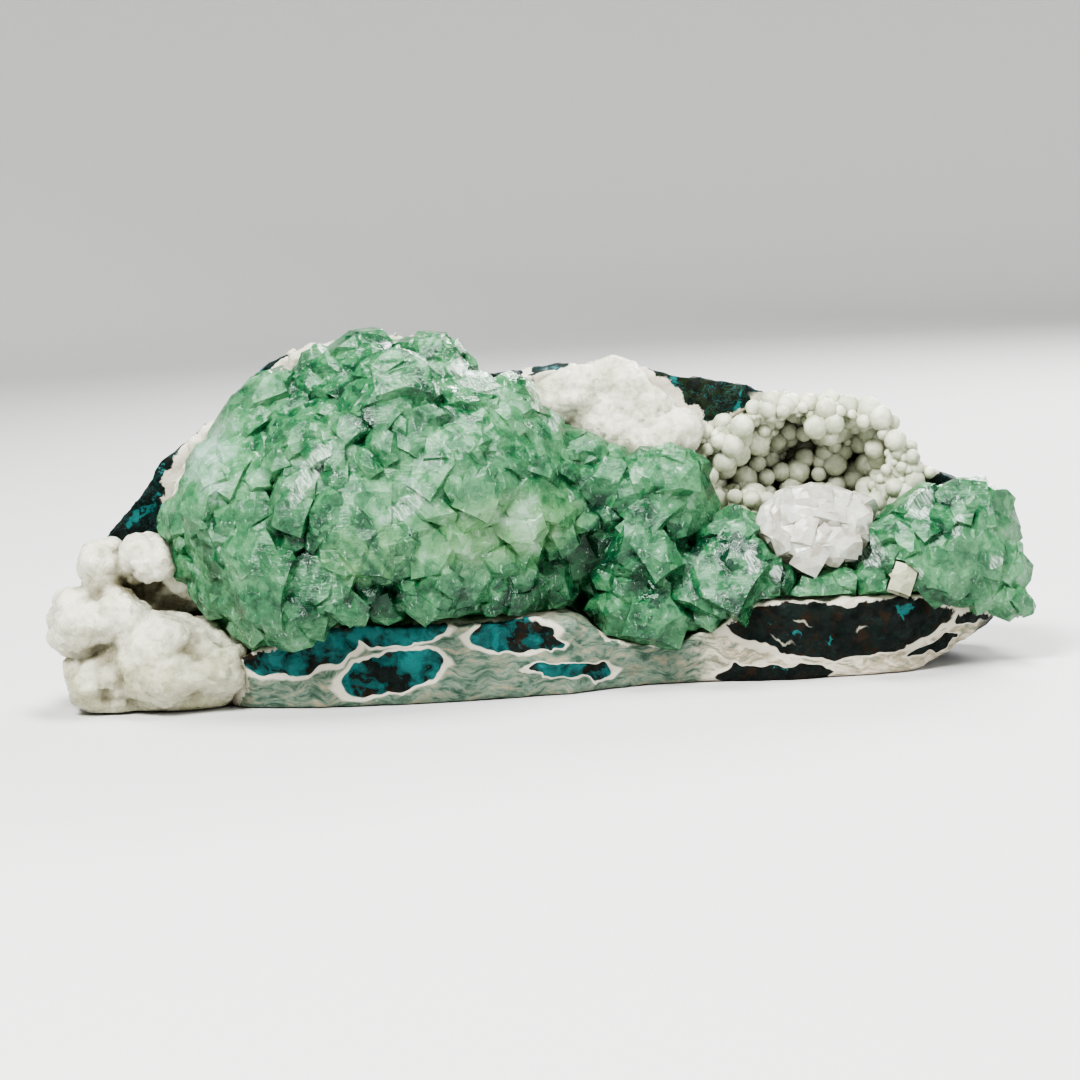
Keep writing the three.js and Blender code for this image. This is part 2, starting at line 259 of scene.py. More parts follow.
def add_crystal(bm, tip, axis, turn, corners):
    """Adds a closed crystal to a mesh, with its tip there."""
    pose = (
        Matrix.Translation(tip)
        @ axis.to_track_quat("Z", "Y").to_matrix().to_4x4()
        @ Matrix.Rotation(turn, 4, "Z")
    )
    made = [bm.verts.new(pose @ (Vector(c) * MM)) for c in corners]
    hull = bmesh.ops.convex_hull(bm, input=made)
    buried = set(hull["geom_interior"]) | set(hull["geom_unused"])
    bmesh.ops.delete(bm, geom=[v for v in buried if isinstance(v, bmesh.types.BMVert)], context="VERTS")


# Shader nodes

class Shader:
    """A material made of nodes, with a Principled shader and short calls for the nodes it needs."""

    def __init__(self, name):
        self.material = bpy.data.materials.new(name)
        self.material.use_nodes = True
        self.tree = self.material.node_tree
        self.bsdf = self.tree.nodes["Principled BSDF"]
        self.output = self.tree.nodes["Material Output"]

    def put(self, socket, value):
        if isinstance(value, bpy.types.NodeSocket):
            self.tree.links.new(value, socket)
        elif socket.type == "RGBA" and len(value) == 3:
            socket.default_value = (*value, 1)
        else:
            socket.default_value = value

    def node(self, kind, inputs=(), **settings):
        made = self.tree.nodes.new("ShaderNode" + kind)
        for key, value in settings.items():
            setattr(made, key, value)
        for key, value in dict(inputs).items():
            self.put(made.inputs[key], value)
        return made

    def position(self):
        """Where the surface is, in millimetres."""
        place = self.node("TexCoord").outputs["Object"]
        return self.node("VectorMath", {0: place, 1: (1 / MM,) * 3}, operation="MULTIPLY").outputs[0]

    def value(self, name):
        return self.node("Attribute", attribute_name=name, attribute_type="GEOMETRY").outputs["Fac"]

    def math(self, operation, a, b=0.0, clamp=False):
        return self.node("Math", {0: a, 1: b}, operation=operation, use_clamp=clamp).outputs[0]

    def vector(self, operation, a, b):
        return self.node("VectorMath", {0: a, 1: b}, operation=operation).outputs[0]

    def split(self, vector):
        return self.node("SeparateXYZ", {0: vector}).outputs

    def join(self, x, y, z):
        return self.node("CombineXYZ", {0: x, 1: y, 2: z}).outputs[0]

    def noise(self, place, size, detail=2.0, roughness=0.5, distortion=0.0, colour=False):
        inputs = {"Vector": place, "Scale": 1 / size, "Detail": detail}
        inputs |= {"Roughness": roughness, "Distortion": distortion}
        return self.node("TexNoise", inputs).outputs["Color" if colour else "Fac"]

    def cells(self, place, size, output="Distance", feature="F1", metric="EUCLIDEAN", randomness=1.0):
        inputs = {"Vector": place, "Scale": 1 / size, "Randomness": randomness}
        return self.node("TexVoronoi", inputs, feature=feature, distance=metric).outputs[output]

    def wobbled(self, place, size, amount):
        """The same place, moved about by noise."""
        push = self.vector("SUBTRACT", self.noise(place, size, 1, colour=True), (0.5,) * 3)
        return self.vector("ADD", place, self.vector("MULTIPLY", push, (2 * amount,) * 3))

    def over(self, value, low, high, out_low=0.0, out_high=1.0, smooth=True):
        """The value carried from one range to another, and held at its ends."""
        made = self.node(
            "MapRange",
            {"Value": value, "From Min": low, "From Max": high, "To Min": out_low, "To Max": out_high},
            interpolation_type="SMOOTHSTEP" if smooth else "LINEAR",
        )
        return made.outputs["Result"]

    def mix(self, share, a, b, blend="MIX"):
        made = self.node("Mix", data_type="RGBA", blend_type=blend)
        for index, value in ((0, share), (6, a), (7, b)):
            self.put(made.inputs[index], value)
        return made.outputs[2]

    def ramp(self, value, stops):
        made = self.node("ValToRGB", {"Fac": value})
        band = made.color_ramp
        while len(band.elements) < len(stops):
            band.elements.new(0.5)
        for element, (at, colour) in zip(band.elements, stops):
            element.position = at
            element.color = (*colour, 1)
        return made.outputs["Color"]

    def turned(self, place, degrees):
        """The same place, turned as seen from the front."""
        inputs = {"Vector": place, "Angle": math.radians(degrees)}
        return self.node("VectorRotate", inputs, rotation_type="Y_AXIS").outputs[0]

    def spot(self, place, centre, radii, tilt=0.0):
        """How far the surface is out of a tilted ellipse on the front: 0 at its centre and 1 at its edge."""
        away = self.vector("SUBTRACT", place, (centre[0], 0, centre[1]))
        scaled = self.vector("MULTIPLY", self.turned(away, tilt), (1 / radii[0], 0, 1 / radii[1]))
        return self.node("VectorMath", {0: scaled}, operation="LENGTH").outputs["Value"]

    def bump(self, height, strength, distance, normal=None):
        made = self.node("Bump", {"Height": height, "Strength": strength, "Distance": distance * MM})
        if normal is not None:
            self.put(made.inputs["Normal"], normal)
        return made.outputs[0]

    def tilted(self, cell_colours, amount):
        """A normal that leans a little another way in each cell, as small crystal faces do."""
        lean = self.vector("SUBTRACT", cell_colours, (0.5,) * 3)
        facing = self.node("NewGeometry").outputs["Normal"]
        moved = self.vector("ADD", facing, self.vector("MULTIPLY", lean, (2 * amount,) * 3))
        return self.node("VectorMath", {0: moved}, operation="NORMALIZE").outputs[0]

    def surface(self, **values):
        for name, value in values.items():
            self.put(self.bsdf.inputs[name.replace("_", " ")], value)

    def absorb(self, colour, density):
        """Plain absorption inside the crystal."""
        made = self.node("VolumeAbsorption", {"Color": colour, "Density": density})
        self.tree.links.new(made.outputs[0], self.output.inputs["Volume"])


def show(piece, node, material, smooth):
    """Gives a finished piece its material and its place in the frame."""
    piece.data.materials.clear()
    piece.data.materials.append(material)
    piece.data.polygons.foreach_set("use_smooth", [smooth] * len(piece.data.polygons))
    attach(piece, "root")
    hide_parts(node)
    return piece


# Green crystals

DARK_GREEN = (0.008, 0.060, 0.028)
MID_GREEN = (0.050, 0.205, 0.088)
LIGHT_GREEN = (0.145, 0.365, 0.180)
HAZE = (0.400, 0.580, 0.490)

# Lighter and darker parts: centre, radii, tilt and how much lighter. Some are the green's own tone; the
# darker zones under the dome and in the recessed middle fan are painted shade, and the lighter yellowish lobe
# is partly a painted glow
GREEN_ZONES = [
    ((-4.0, 29.5), (15.0, 6.0), 5, 0.13),
    ((-23.0, 36.0), (9.0, 7.0), 0, 0.05),
    ((-26.0, 55.0), (26.0, 9.0), 0, -0.04),
    ((-53.0, 44.0), (8.0, 8.0), 0, 0.11),
    ((-8.0, 53.0), (8.0, 5.0), -30, 0.06),
    ((36.0, 19.0), (10.0, 9.0), 0, -0.07),
    ((65.0, 22.0), (20.0, 14.0), 0, -0.03),
    ((84.0, 20.0), (6.0, 9.0), 0, 0.06),
    ((22.0, 37.0), (6.0, 5.0), 0, 0.04),
    ((18.0, 21.0), (12.0, 14.0), 0, -0.06),
    ((-18.0, 18.5), (28.0, 5.5), -4, -0.07),
    ((8.0, 34.0), (6.0, 14.0), 0, -0.04),
    ((-36.0, 30.0), (9.0, 6.0), 0, -0.05),
]
# Where the green turns yellowish and lighter: partly its own tint and partly a painted glow of light shining
# through the crystal
WARM_LOBES = [((-4.0, 29.5), (16.0, 7.0), 5), ((-27.0, 26.0), (9.0, 6.0), 0)]
# Painted glints: bright striated patches painted where faces catch the light
PAINTED_GLINTS = [
    ((-36.5, 41.0), (1.6, 6.0), -35),
    ((-20.5, 35.0), (3.6, 1.6), 30),
    ((-8.5, 54.5), (5.0, 1.6), -25),
    ((5.0, 47.0), (1.0, 2.4), -10),
    ((37.0, 21.0), (1.2, 2.0), 20),
    ((41.0, 19.0), (1.2, 1.4), 0),
    ((57.5, 21.5), (2.2, 2.8), 0),
    ((66.5, 29.0), (2.8, 1.8), 40),
    ((72.5, 25.0), (1.0, 2.2), -30),
    ((78.5, 18.5), (1.3, 1.2), 0),
    ((64.5, 18.0), (1.0, 1.3), 15),
]


def total(s, values):
    """The sum of some shader values, each times its weight."""
    whole = None
    for value, weight in values:
        part = s.math("MULTIPLY", value, weight)
        whole = part if whole is None else s.math("ADD", whole, part)
    return whole


def green_shader():
    s = Shader("green_apophyllite")
    place = s.position()
    x, y, z = s.split(place)

    # Streaks that fan out from the foot of the dome
    across = s.math("SUBTRACT", x, -19.5)
    up = s.math("SUBTRACT", z, 16.0)
    angle = s.math("ARCTAN2", up, across)
    away = s.node("VectorMath", {0: s.join(across, up, 0)}, operation="LENGTH").outputs["Value"]
    fan = s.join(s.math("MULTIPLY", angle, 9.0), s.math("MULTIPLY", away, 0.12), s.math("MULTIPLY", y, 0.2))
    streaks = s.noise(fan, 1.0, 3, 0.65)

    swirled = s.wobbled(place, 5, 3)
    shaken = s.wobbled(place, 2, 1.1)
    clouds = s.noise(swirled, 8, 3, 0.6)
    blots = s.noise(shaken, 3.2, 3, 0.6)
    fine = s.noise(shaken, 1.1, 3, 0.7)
    shards = s.split(s.cells(shaken, 2.0, "Color"))[0]
    tone = total(s, [(clouds, 0.34), (streaks, 0.20), (blots, 0.24), (fine, 0.16), (shards, 0.10)])
    # Painted shade and glow, together with the green's own tone: each zone lightens or darkens the tone
    for centre, radii, tilt, change in GREEN_ZONES:
        tone = s.math("ADD", tone, s.over(s.spot(place, centre, radii, tilt), 1.3, 0.3, 0.0, change))
    # Painted shade: the green is a little darker in the crevices of the cluster
    tone = s.math("SUBTRACT", tone, s.over(s.value("depth"), 0.45, 1.0, 0.0, 0.05))
    stops = [(0.38, DARK_GREEN), (0.48, MID_GREEN), (0.59, LIGHT_GREEN), (0.73, HAZE)]
    colour = s.ramp(tone, stops)

    # The yellowish lobes: partly the crystal's own tint and partly a painted glow of light through it
    warmth = s.over(nearest_spot(s, swirled, WARM_LOBES), 1.4, 0.3, 0.0, 0.4)
    colour = s.mix(s.math("MULTIPLY", warmth, s.over(tone, 0.4, 0.65)), colour, (0.260, 0.450, 0.170))

    # White flecks inside, and painted glints on a few faces
    upwards = s.vector("MULTIPLY", shaken, (1.3, 1, 0.35))
    flecks = s.over(s.noise(upwards, 0.8, 3, 0.65), 0.61, 0.72, 0.0, 0.6)
    colour = s.mix(flecks, colour, (0.60, 0.76, 0.66))
    glint = inside(s, shaken, PAINTED_GLINTS, 0.1)
    slanting = s.turned(place, 30)
    strokes = s.noise(s.vector("MULTIPLY", slanting, (2.4, 1, 0.3)), 0.8, 3, 0.6)
    bright = s.math("MULTIPLY", glint, s.over(strokes, 0.42, 0.60, 0.10, 0.6))
    colour = s.mix(bright, colour, (0.80, 0.88, 0.83))

    facets = s.cells(shaken, 3.2, "Color", metric="CHEBYCHEV")
    small = s.cells(place, 1.1, "Color", metric="CHEBYCHEV")
    normal = s.tilted(s.mix(0.5, facets, small), 0.26)
    scratches = s.noise(s.vector("MULTIPLY", place, (1, 1, 4)), 1.4, 3, 0.7)
    normal = s.bump(scratches, 0.6, 0.4, normal)
    s.surface(
        Base_Color=colour,
        Roughness=s.over(s.noise(place, 4, 3), 0.4, 0.7, 0.05, 0.25),
        IOR=1.535,
        Transmission_Weight=0.35,
        Normal=normal,
    )
    s.absorb((0.40, 0.85, 0.55), 60)
    return s.material


def form_of(mesh, voxel, rounds, swell=0.0):
    """A mesh as a softened form with its crevices filled and its corners gone, swollen by some mm."""
    form = new_object("form", mesh.copy())
    change = form.modifiers.new("even", "REMESH")
    change.mode, change.voxel_size = "VOXEL", voxel * MM
    softened(form, rounds)
    set_points(form.data, points_of(form.data) + normals_of(form.data) * swell * MM)
    return form


def depth_below_form(points, piece_mesh, voxel=2.5, rounds=14, reach=3.0):
    """0 where a point stands out of the piece's smoothed form, and 1 where it lies in a crevice."""
    form = form_of(piece_mesh, voxel, rounds)
    bm = bmesh.new()
    bm.from_mesh(form.data)
    tree = BVHTree.FromBMesh(bm)
    bm.free()
    drop(form)
    depths = []
    for p in points:
        near, normal, _, _ = tree.find_nearest(Vector(p))
        out = (Vector(p) - near).dot(normal) / MM
        depths.append(min(1.0, max(0.0, 0.5 - out / reach)))
    return depths


def grown(name, node, spacing, widths, others, rng, axis_at, length, stand, rounds, swell):
    """A node's solid with flat crystals grown all over its open side, joined into one skin.
    They stand on the solid's softened form, and are narrower near the other nodes and the box's ends."""
    solid = closed_copy(node)
    form = form_of(solid, 1.6, rounds, swell)
    near_others = tree_of(*others)
    low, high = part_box(node)

    def free(place, normal):
        within = low[0] / MM + 1 < place[0] < high[0] / MM - 1 and place[2] > low[2] / MM + 2
        clear = near_others.find_nearest(vec(place), 0.5 * widths[0] * MM)[3] is None
        return within and normal[1] < 0.55 and clear

    piece = new_object(name, solid)
    growths = bpy.data.collections.new("growths")
    for place, normal in surface_points(form.data, spacing, rng, free):
        axis = (axis_at(place, normal) + Vector(rng.normal(0, 0.09, 3))).normalized()
        room = (near_others.find_nearest(place, 20 * MM)[3] or 20 * MM) / MM
        side = min(high[0] - place[0], place[0] - low[0]) / MM
        width = min(rng.uniform(*widths), 1.5 * room, widths[0] + 1.5 * side)
        flatness, steepness, tip_share = rng.uniform(0.5, 1), rng.uniform(0.2, 0.6), rng.uniform(0.2, 1.2)
        corners = crystal_corners(width, length, flatness, steepness, tip_share)
        bm = bmesh.new()
        add_crystal(bm, place + axis * rng.uniform(*stand) * MM, axis, rng.uniform(0, math.pi), corners)
        mesh = bpy.data.meshes.new("growth")
        bm.to_mesh(mesh)
        bm.free()
        growths.objects.link(bpy.data.objects.new("growth", mesh))
    drop(form)
    join = piece.modifiers.new("join", "BOOLEAN")
    join.operation, join.solver = "UNION", "MANIFOLD"
    join.operand_type, join.collection = "COLLECTION", growths
    baked(piece)
    for growth in list(growths.objects):
        drop(growth)
    bpy.data.collections.remove(growths)
    return piece


def green_crystals():
    rng = np.random.default_rng(7)

    def radiating(place, normal):
        root = min((vec(r) for r in FAN_ROOTS), key=lambda r: (place - r).length)
        return (place - root).normalized() * 0.35 + normal * 0.9

    others = (
        "basalt_block", "white_crust_left", "white_crust_top", "clear_white_crystals", "cream_crystal"
    )
    piece = grown(
        "green_crystal_cluster", "green_crystals", CRYSTAL_SPACING, CRYSTAL_WIDTHS, others, rng, radiating,
        length=10, stand=(-0.4, 0.2), rounds=32, swell=1.9,
    )
    attribute(piece.data, "depth", depth_below_form(points_of(piece.data), piece.data))
    return show(piece, "green_crystals", green_shader(), False)


# White crystals at the pocket's mouth, and the cream one

def milky_shader(name, light, warm, transmission):
    s = Shader(name)
    place = s.position()
    colour = s.mix(s.over(s.noise(s.wobbled(place, 3, 1.5), 3, 4, 0.6), 0.35, 0.65), light, warm)
    # Painted shade: darker in the crevices between the crystals
    colour = s.mix(s.over(s.value("depth"), 0.4, 1.0, 0.0, 0.6), colour, [c * 0.6 for c in warm])
    facets = s.cells(s.wobbled(place, 2, 0.4), 2.2, "Color", metric="CHEBYCHEV")
    scratches = s.noise(s.vector("MULTIPLY", place, (1, 1, 4)), 1.4, 4, 0.6)
    normal = s.bump(scratches, 0.4, 0.3, s.tilted(facets, 0.22))
    s.surface(
        Base_Color=colour,
        Roughness=s.over(s.noise(place, 3, 3), 0.4, 0.65, 0.04, 0.2),
        IOR=1.53,
        Transmission_Weight=transmission,
        Subsurface_Weight=0.15,
        Subsurface_Radius=(1, 0.9, 0.85),
        Subsurface_Scale=0.003,
        Normal=normal,
    )
    if transmission:
        s.absorb((0.98, 0.95, 0.92), 20)
    return s.material


def white_crystals():
    rng = np.random.default_rng(5)
    root = vec((48, 6, 14))
    others = ("green_crystals", "basalt_block")
    piece = grown(
        "milky_crystal_group", "clear_white_crystals", 3.0, (3.5, 7.5), others, rng,
        lambda place, normal: (place - root).normalized() * 0.5 + normal * 0.6,
        length=5, stand=(-0.8, 0.8), rounds=4, swell=0.4,
    )
    depths = depth_below_form(points_of(piece.data), piece.data, voxel=1.2, rounds=8, reach=2)
    attribute(piece.data, "depth", depths)
    material = milky_shader("milky_crystal", (0.80, 0.83, 0.76), (0.68, 0.63, 0.54), 0.4)
    return show(piece, "clear_white_crystals", material, False)


def cream_crystal():
    rng = np.random.default_rng(6)
    others = ("green_crystals", "basalt_block")
    piece = grown(
        "cream_crystal_block", "cream_crystal", 1.7, (1.6, 3.0), others, rng,
        lambda place, normal: normal + Vector((0, -0.6, 0)),
        length=3, stand=(-0.4, 0.3), rounds=4, swell=0.2,
    )
    attribute(piece.data, "depth", np.zeros(len(piece.data.vertices)))
    material = milky_shader("cream_crystal", (0.46, 0.46, 0.34), (0.33, 0.35, 0.24), 0.0)
    return show(piece, "cream_crystal", material, False)


# White crusts

def crust_shader():
    s = Shader("sugary_crust")
    place = s.position()
    x, y, z = s.split(place)
    tone = s.noise(s.wobbled(place, 5, 2), 6, 4, 0.6)
    low = s.math("MULTIPLY", s.over(z, 18, 6), s.over(x, -35, -50))
    share = s.math("ADD", s.over(tone, 0.4, 0.7, 0.0, 0.6), s.math("MULTIPLY", low, 0.5), True)
    colour = s.mix(share, (0.66, 0.65, 0.54), (0.42, 0.41, 0.28))
    # Painted shade: much darker in the creases between the knobs
    colour = s.mix(s.over(s.value("depth"), 0.40, 0.90, 0.0, 0.95), colour, (0.17, 0.155, 0.095))
    facets = s.cells(s.wobbled(place, 1, 0.3), 0.9, "Color", metric="CHEBYCHEV")
    normal = s.bump(s.noise(place, 0.8, 5, 0.75), 0.8, 0.4, s.tilted(facets, 0.28))
    s.surface(
        Base_Color=colour,
        Roughness=s.over(s.noise(place, 1.2, 2), 0.4, 0.65, 0.10, 0.45),
        IOR=1.5,
        Subsurface_Weight=0.15,
        Subsurface_Radius=(1, 0.95, 0.75),
        Subsurface_Scale=0.0025,
        Normal=normal,
    )
    return s.material


def raised(mesh, heights):
    """Moves a mesh's points out by heights in mm, but not those on its flat base."""
    points, normals = points_of(mesh), normals_of(mesh)
    keep = np.clip((points[:, 2] / MM - 0.4) / 2, 0, 1)
    moved = points + normals * (heights * keep * MM)[:, None]
    moved[:, 2] = np.maximum(moved[:, 2], 0.2 * MM)
    set_points(mesh, moved)


def lumpy(piece, sizes_and_heights, seed):
    """Uneven swellings of a few sizes all over a piece."""
    points = points_of(piece.data)
    heights = sum(rough(points, size, 2, seed + size) * height for size, height in sizes_and_heights)
    raised(piece.data, heights)


def knobbly(piece, size, height):
    """Round knobs with creases between them, as on a cauliflower."""
    places = points_of(piece.data) / (size * MM)
    near = np.array([noise.voronoi(Vector(p))[0][0] for p in places])
    raised(piece.data, (0.45 - near**2) * height)


def thinned(mesh, above, depth):
    """Draws in a crust's skin above a height, both in mm."""
    points, normals = points_of(mesh), normals_of(mesh)
    share = np.clip((points[:, 2] / MM - above) / 4, 0, 1)
    set_points(mesh, points - normals * (share * depth * MM)[:, None])


def finished_crust(piece, node):
    depths = depth_below_form(points_of(piece.data), closed_copy(node), voxel=1.5, rounds=10, reach=3.5)
    attribute(piece.data, "depth", depths)
    return show(piece, node, crust_shader(), True)


def white_crusts():
    left = softened(remeshed("sugary_crust_left", "white_crust_left", CRUST_VOXEL), 8)
    thinned(left.data, above=28, depth=0.5)
    lumpy(left, ((7, 1.5), (2.6, 0.5), (0.9, 0.14)), 3)
    knobbly(left, 6.0, 1.5)
    knobbly(left, 2.3, 0.45)
    finished_crust(left, "white_crust_left")

    top = softened(remeshed("sugary_crust_top", "white_crust_top", CRUST_VOXEL), 20)
    lumpy(top, ((6, 0.9), (1.5, 0.25), (0.8, 0.12)), 4)
    knobbly(top, 3.6, 0.6)
    finished_crust(top, "white_crust_top")


# The pocket of balls

def ball_shader():
    s = Shader("waxy_balls")
    place = s.position()
    tone = s.noise(s.wobbled(place, 3, 1), 3, 3, 0.6)
    colour = s.mix(s.over(tone, 0.35, 0.65), (0.66, 0.67, 0.54), (0.44, 0.47, 0.35))
    # Painted shade: the balls darken the deeper they lie in the pocket
    colour = s.mix(s.over(s.value("depth"), 2.0, 10.0, 0.0, 0.85), colour, (0.13, 0.13, 0.09))
    s.surface(
        Base_Color=colour,
        Roughness=s.over(s.noise(place, 0.8, 3), 0.35, 0.7, 0.25, 0.6),
        IOR=1.5,
        Subsurface_Weight=0.15,
        Subsurface_Radius=(1, 0.95, 0.7),
        Subsurface_Scale=0.0018,
        Normal=s.bump(s.noise(place, 0.8, 5, 0.75), 0.7, 0.3),
    )
    return s.material


BALL_FIELD = [
    ((47.5, 34.5), (22.0, 13.0), 0),
    ((50.0, 43.0), (9.5, 6.0), 8),
    ((66.0, 35.0), (8.0, 4.5), 32),
    ((34.0, 32.0), (6.5, 8.0), 0),
]
# The dark mossy patch of the wall that the balls leave free
MOSS = [((29.0, 47.0), (8.5, 9.0), 0), ((34.5, 47.5), (5.0, 7.5), -10), ((31.0, 39.5), (4.0, 5.0), 0)]
NOTCH = [((47.5, 48.6), (4.6, 2.6), 0)]
BALL_GAPS = [((45.5, 37.5), (3.0, 2.2), 0), ((55.5, 40.0), (3.0, 1.8), 0), ((37.5, 39.0), (1.6, 1.8), 0)]


def in_spots(spots, x, z, grow=0.0):
    """Whether a place on the front lies in one of the tilted ellipses, all in mm."""
    for (u, w), (a, b), tilt in spots:
        turn = math.radians(tilt)
        across = (x - u) * math.cos(turn) + (z - w) * math.sin(turn)
        up = (z - w) * math.cos(turn) - (x - u) * math.sin(turn)
        if (across / (a + grow)) ** 2 + (up / (b + grow)) ** 2 < 1:
            return True
    return False


def deep_balls(rng):
    """Places of the larger balls that fill the bottom of the pocket, but for a few gaps."""
    low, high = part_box("ball_crust")
    middle, half = (low + high) / 2 / MM, (high - low) / 2 / MM
    found = []
    for _ in range(900):
        across, up = rng.uniform(-0.9, 0.9, 2)
        x, z = middle[0] + across * half[0], middle[2] + up * half[2]
        rise = across * across + up * up
        near = any(math.dist((x, z), (q[0][0] / MM, q[0][2] / MM)) < 2.4 for q in found)
        if rise < 0.8 and not near and not in_spots(BALL_GAPS, x, z):
            found.append((vec((x, 9.5 - 4 * rise + rng.uniform(-1, 1), z)), Vector((0, -1, 0))))
    return found


def ball_pocket():
    rng = np.random.default_rng(12)
    piece = softened(remeshed("ball_lining", "ball_crust", CRUST_VOXEL), 3)
    low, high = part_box("ball_crust")
    middle = (low + high) / 2

    def open_side(place, normal):
        inwards = (middle / MM - Vector(place)).dot(Vector(normal))
        return inwards > 0 or place[1] < WALL_FRONT + 1 or place[2] > LIP_HEIGHT

    def on_wall(place, normal):
        x, y, z = place
        wanted = in_spots(BALL_FIELD, x, z) and not in_spots(MOSS, x, z, -1) and not in_spots(NOTCH, x, z)
        return wanted and normal[1] < -0.4 and y < WALL_FRONT + 3

    bm = bmesh.new()
    bmesh.ops.create_icosphere(bm, subdivisions=2, radius=1)
    corners = [v.co[:] for v in bm.verts]
    faces = [[v.index for v in f.verts] for f in bm.faces]
    bm.free()

    smaller, larger = BALL_RADII
    deep = deep_balls(rng)
    outer = surface_points(piece.data, 2.2, rng, open_side)
    outer += surface_points(closed_copy("basalt_block"), 1.8, rng, on_wall)
    tiny = surface_points(piece.data, 1.9, rng, open_side)
    radii = smaller + (larger - smaller) * rng.random(len(outer)) ** 2
    radii = np.concatenate([rng.uniform(1.4, 2.3, len(deep)), radii, rng.uniform(0.5, 1.0, len(tiny))])
    places = [place + normal * (r * 0.25) * MM for (place, normal), r in zip(deep + outer + tiny, radii)]
    joined(piece, [scattered(corners, faces, places, random_turns(rng, len(places)), radii)])
    points = points_of(piece.data) / MM
    # How far each point lies back in the pocket, which drives the balls' painted shade
    attribute(piece.data, "depth", points[:, 1] - WALL_FRONT)
    return show(piece, "ball_crust", ball_shader(), True)


# Basalt

LENSES = [
    ((-40.2, 11.0), (11.7, 4.6), 14),
    ((-30.5, 14.0), (6.0, 1.6), -5),
    ((-22.3, 13.2), (7.6, 2.6), 6),
    ((-25.1, 5.8), (8.9, 3.3), 10),
    ((-4.0, 11.8), (7.0, 3.3), 2),
    ((0.5, 10.6), (4.5, 1.6), -14),
    ((5.6, 4.2), (8.0, 1.5), -4),
    ((44.4, 9.6), (12.6, 4.4), -3),
    ((41.5, 12.5), (7.0, 2.5), 8),
    ((59.5, 9.2), (11.6, 4.6), 4),
    ((52.7, 5.4), (11.0, 2.2), -3),
    ((75.5, 9.8), (4.2, 1.9), 22),
    ((68.0, 3.6), (5.0, 0.7), 20),
    ((39.8, 1.0), (10.5, 1.8), 0),
]
INCLUSIONS = [
    ((45.5, 9.8), (1.3, 0.2), -5),
    ((55.2, 8.2), (1.1, 0.25), 12),
    ((42.0, 6.6), (2.0, 0.2), -14),
]
TURQUOISE = [
    ((-68.0, 32.5), (3.0, 1.0), 25),
    ((-65.4, 34.6), (1.0, 2.0), 10),
    ((-63.6, 40.0), (0.8, 1.3), -20),
    ((-46.0, 56.6), (2.2, 0.8), 35),
    ((47.8, 49.2), (3.4, 1.1), 0),
    ((26.0, 50.5), (0.8, 1.6), -30),
    ((37.8, 45.0), (0.5, 3.4), -12),
    ((-8.0, 54.6), (2.2, 0.8), 25),
    ((4.2, 54.5), (0.7, 2.0), 0),
]
WHITE_SPOTS = [((29.0, 53.9), (1.8, 0.9), -15), ((0.8, 53.5), (0.9, 2.2), 10)]

CREAM = (0.36, 0.31, 0.22)
WHITE = (0.60, 0.56, 0.47)
BLACK = (0.002, 0.005, 0.004)
TEAL = (0.018, 0.140, 0.135)


def nearest_spot(s, place, spots):
    """The least of how far the surface is out of each spot."""
    least = None
    for centre, radii, tilt in spots:
        away = s.spot(place, centre, radii, tilt)
        least = away if least is None else s.math("MINIMUM", least, away)
    return least


def inside(s, place, spots, edge=0.05):
    """1 in the spots and 0 outside them."""
    return s.over(nearest_spot(s, place, spots), 1 + edge, 1 - edge)


def wall_colour(s, place, ragged, stone, front):
    """The wall, the top and the back."""
    grains = s.over(s.noise(place, 1.3, 3, 0.7), 0.4, 0.62)
    moss = s.mix(grains, (0.002, 0.006, 0.003), (0.013, 0.024, 0.008))
    wall = s.mix(s.math("MULTIPLY", inside(s, ragged, MOSS), front), stone, moss)
    patches = s.noise(s.wobbled(place, 4, 3), 3.5, 4, 0.7)
    dull = s.math("MULTIPLY", s.over(patches, 0.57, 0.61), s.over(front, 0, 1, 0.15, 0.7))
    wall = s.mix(dull, wall, (0.003, 0.045, 0.042))
    broken = s.over(s.noise(s.wobbled(place, 2, 1.5), 1.6, 4, 0.7), 0.47, 0.51)
    bright = s.math("MULTIPLY", inside(s, s.wobbled(ragged, 2, 0.8), TURQUOISE, 0.12), front)
    bright = s.math("MULTIPLY", bright, broken)
    off_middle = s.math("ABSOLUTE", s.math("SUBTRACT", patches, 0.5))
    veins = s.math("MULTIPLY", s.over(off_middle, 0.012, 0.004), front)
    wall = s.mix(s.math("MAXIMUM", bright, s.math("MULTIPLY", veins, 0.5)), wall, TEAL)
    crusted = s.math("MULTIPLY", inside(s, ragged, BALL_FIELD), s.over(inside(s, ragged, MOSS), 0.9, 0.1))
    crusted = s.math("MAXIMUM", crusted, inside(s, ragged, WHITE_SPOTS, 0.1))
    return s.mix(s.math("MULTIPLY", crusted, front), wall, WHITE)


